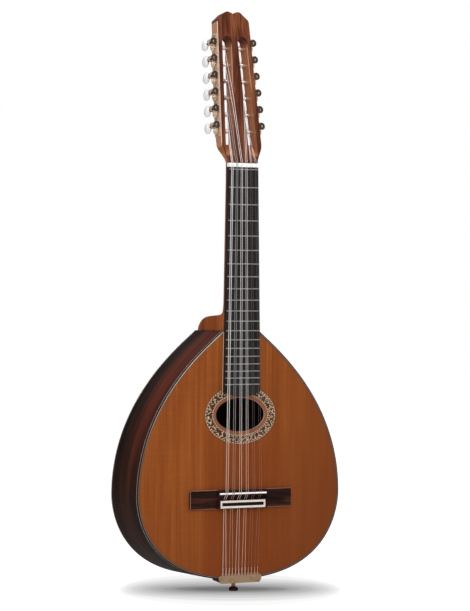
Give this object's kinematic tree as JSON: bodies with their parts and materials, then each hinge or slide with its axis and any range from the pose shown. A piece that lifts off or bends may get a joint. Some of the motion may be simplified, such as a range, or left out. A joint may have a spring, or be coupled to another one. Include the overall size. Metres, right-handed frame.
{
  "type": "laud",
  "caption": "Flat-backed pear-shaped plucked instrument with a slotted head, worm tuning machines, paired strings, an oval sound hole, a bridge and a tailpiece.",
  "frame": {"origin": "between the arms of the yoke that holds the head up, on the instrument's centre line, in the plane of the soundboard's face and 18 mm above the zero fret", "axes": "+Z along the neck towards the head, -Y out of the soundboard towards the listener, +X to the right of someone who faces the soundboard"},
  "size_m": [0.3594, 0.1015, 0.903],
  "materials": {
    "cedar": "gloss",
    "rosewood": "gloss",
    "head_rosewood": "gloss",
    "mahogany": "satin",
    "ebony": "satin",
    "spruce": "matte",
    "inlay": "gloss",
    "bone": "gloss",
    "brass": "polished",
    "steel": "polished"
  },
  "bodies": {
    "laud": {"soundboard": "cedar", "back_plate": "rosewood", "rib_left": "rosewood", "rib_right": "rosewood", "top_binding": "ebony", "back_binding": "ebony", "top_lining": "spruce", "upper_brace": "spruce", "lower_brace": "spruce", "tail_block": "mahogany", "rosette": "inlay", "neck": "mahogany", "fingerboard": "ebony", "nut": "bone", "head": "mahogany", "head_veneer": "head_rosewood", "machine_plate_left": "brass", "machine_plate_right": "brass", "bridge": "rosewood", "saddle": "bone", "block_frame": "bone", "tailpiece": "brass", "end_wedge": "ebony", "end_button": "rosewood", "string_01": "steel", "string_02": "steel", "string_03": "steel", "string_04": "steel", "string_05": "steel", "string_06": "steel", "string_07": "steel", "string_08": "steel", "string_09": "steel", "string_10": "steel", "string_11": "steel", "string_12": "steel"},
    "tuner_left_1": {"tuner_left_1": "brass"},
    "tuner_left_2": {"tuner_left_2": "brass"},
    "tuner_left_3": {"tuner_left_3": "brass"},
    "tuner_left_4": {"tuner_left_4": "brass"},
    "tuner_left_5": {"tuner_left_5": "brass"},
    "tuner_left_6": {"tuner_left_6": "brass"},
    "tuner_right_1": {"tuner_right_1": "brass"},
    "tuner_right_2": {"tuner_right_2": "brass"},
    "tuner_right_3": {"tuner_right_3": "brass"},
    "tuner_right_4": {"tuner_right_4": "brass"},
    "tuner_right_5": {"tuner_right_5": "brass"},
    "tuner_right_6": {"tuner_right_6": "brass"},
    "roller_left_1": {"roller_left_1": "steel"},
    "roller_left_2": {"roller_left_2": "steel"},
    "roller_left_3": {"roller_left_3": "steel"},
    "roller_left_4": {"roller_left_4": "steel"},
    "roller_left_5": {"roller_left_5": "steel"},
    "roller_left_6": {"roller_left_6": "steel"},
    "roller_right_1": {"roller_right_1": "steel"},
    "roller_right_2": {"roller_right_2": "steel"},
    "roller_right_3": {"roller_right_3": "steel"},
    "roller_right_4": {"roller_right_4": "steel"},
    "roller_right_5": {"roller_right_5": "steel"},
    "roller_right_6": {"roller_right_6": "steel"}
  },
  "joints": [
    {"name": "tuner_left_1_turn", "type": "hinge", "parent": "laud", "child": "tuner_left_1", "pos_m": [-0.03861, 0.0156, 0.05003], "axis": [0, 0.989, -0.1478], "continuous": true},
    {"name": "tuner_left_2_turn", "type": "hinge", "parent": "laud", "child": "tuner_left_2", "pos_m": [-0.03763, 0.01951, 0.07622], "axis": [0, 0.989, -0.1478], "continuous": true},
    {"name": "tuner_left_3_turn", "type": "hinge", "parent": "laud", "child": "tuner_left_3", "pos_m": [-0.03666, 0.02343, 0.10241], "axis": [0, 0.989, -0.1478], "continuous": true},
    {"name": "tuner_left_4_turn", "type": "hinge", "parent": "laud", "child": "tuner_left_4", "pos_m": [-0.03568, 0.02734, 0.1286], "axis": [0, 0.989, -0.1478], "continuous": true},
    {"name": "tuner_left_5_turn", "type": "hinge", "parent": "laud", "child": "tuner_left_5", "pos_m": [-0.03471, 0.03126, 0.15479], "axis": [0, 0.989, -0.1478], "continuous": true},
    {"name": "tuner_left_6_turn", "type": "hinge", "parent": "laud", "child": "tuner_left_6", "pos_m": [-0.03373, 0.03517, 0.18098], "axis": [0, 0.989, -0.1478], "continuous": true},
    {"name": "tuner_right_1_turn", "type": "hinge", "parent": "laud", "child": "tuner_right_1", "pos_m": [0.03861, 0.0156, 0.05003], "axis": [0, 0.989, -0.1478], "continuous": true},
    {"name": "tuner_right_2_turn", "type": "hinge", "parent": "laud", "child": "tuner_right_2", "pos_m": [0.03763, 0.01951, 0.07622], "axis": [0, 0.989, -0.1478], "continuous": true},
    {"name": "tuner_right_3_turn", "type": "hinge", "parent": "laud", "child": "tuner_right_3", "pos_m": [0.03666, 0.02343, 0.10241], "axis": [0, 0.989, -0.1478], "continuous": true},
    {"name": "tuner_right_4_turn", "type": "hinge", "parent": "laud", "child": "tuner_right_4", "pos_m": [0.03568, 0.02734, 0.1286], "axis": [0, 0.989, -0.1478], "continuous": true},
    {"name": "tuner_right_5_turn", "type": "hinge", "parent": "laud", "child": "tuner_right_5", "pos_m": [0.03471, 0.03126, 0.15479], "axis": [0, 0.989, -0.1478], "continuous": true},
    {"name": "tuner_right_6_turn", "type": "hinge", "parent": "laud", "child": "tuner_right_6", "pos_m": [0.03373, 0.03517, 0.18098], "axis": [0, 0.989, -0.1478], "continuous": true},
    {"name": "roller_left_1_turn", "type": "hinge", "parent": "laud", "child": "roller_left_1", "pos_m": [-0.0389, 0.01442, 0.04212], "axis": [0.9993, -0.0054, -0.0364], "continuous": true},
    {"name": "roller_left_2_turn", "type": "hinge", "parent": "laud", "child": "roller_left_2", "pos_m": [-0.03793, 0.01833, 0.06831], "axis": [0.9993, -0.0054, -0.0364], "continuous": true},
    {"name": "roller_left_3_turn", "type": "hinge", "parent": "laud", "child": "roller_left_3", "pos_m": [-0.03695, 0.02225, 0.0945], "axis": [0.9993, -0.0054, -0.0364], "continuous": true},
    {"name": "roller_left_4_turn", "type": "hinge", "parent": "laud", "child": "roller_left_4", "pos_m": [-0.03598, 0.02616, 0.12069], "axis": [0.9993, -0.0054, -0.0364], "continuous": true},
    {"name": "roller_left_5_turn", "type": "hinge", "parent": "laud", "child": "roller_left_5", "pos_m": [-0.035, 0.03007, 0.14688], "axis": [0.9993, -0.0054, -0.0364], "continuous": true},
    {"name": "roller_left_6_turn", "type": "hinge", "parent": "laud", "child": "roller_left_6", "pos_m": [-0.03403, 0.03399, 0.17308], "axis": [0.9993, -0.0054, -0.0364], "continuous": true},
    {"name": "roller_right_1_turn", "type": "hinge", "parent": "laud", "child": "roller_right_1", "pos_m": [0.0389, 0.01442, 0.04212], "axis": [0.9993, 0.0054, 0.0364], "continuous": true},
    {"name": "roller_right_2_turn", "type": "hinge", "parent": "laud", "child": "roller_right_2", "pos_m": [0.03793, 0.01833, 0.06831], "axis": [0.9993, 0.0054, 0.0364], "continuous": true},
    {"name": "roller_right_3_turn", "type": "hinge", "parent": "laud", "child": "roller_right_3", "pos_m": [0.03695, 0.02225, 0.0945], "axis": [0.9993, 0.0054, 0.0364], "continuous": true},
    {"name": "roller_right_4_turn", "type": "hinge", "parent": "laud", "child": "roller_right_4", "pos_m": [0.03598, 0.02616, 0.12069], "axis": [0.9993, 0.0054, 0.0364], "continuous": true},
    {"name": "roller_right_5_turn", "type": "hinge", "parent": "laud", "child": "roller_right_5", "pos_m": [0.035, 0.03007, 0.14688], "axis": [0.9993, 0.0054, 0.0364], "continuous": true},
    {"name": "roller_right_6_turn", "type": "hinge", "parent": "laud", "child": "roller_right_6", "pos_m": [0.03403, 0.03399, 0.17308], "axis": [0.9993, 0.0054, 0.0364], "continuous": true}
  ],
  "couplings": [
    {"joint": "roller_left_1_turn", "follows": "tuner_left_1_turn", "ratio": 0.071429},
    {"joint": "roller_left_2_turn", "follows": "tuner_left_2_turn", "ratio": 0.071429},
    {"joint": "roller_left_3_turn", "follows": "tuner_left_3_turn", "ratio": 0.071429},
    {"joint": "roller_left_4_turn", "follows": "tuner_left_4_turn", "ratio": 0.071429},
    {"joint": "roller_left_5_turn", "follows": "tuner_left_5_turn", "ratio": 0.071429},
    {"joint": "roller_left_6_turn", "follows": "tuner_left_6_turn", "ratio": 0.071429},
    {"joint": "roller_right_1_turn", "follows": "tuner_right_1_turn", "ratio": 0.071429},
    {"joint": "roller_right_2_turn", "follows": "tuner_right_2_turn", "ratio": 0.071429},
    {"joint": "roller_right_3_turn", "follows": "tuner_right_3_turn", "ratio": 0.071429},
    {"joint": "roller_right_4_turn", "follows": "tuner_right_4_turn", "ratio": 0.071429},
    {"joint": "roller_right_5_turn", "follows": "tuner_right_5_turn", "ratio": 0.071429},
    {"joint": "roller_right_6_turn", "follows": "tuner_right_6_turn", "ratio": 0.071429}
  ]
}
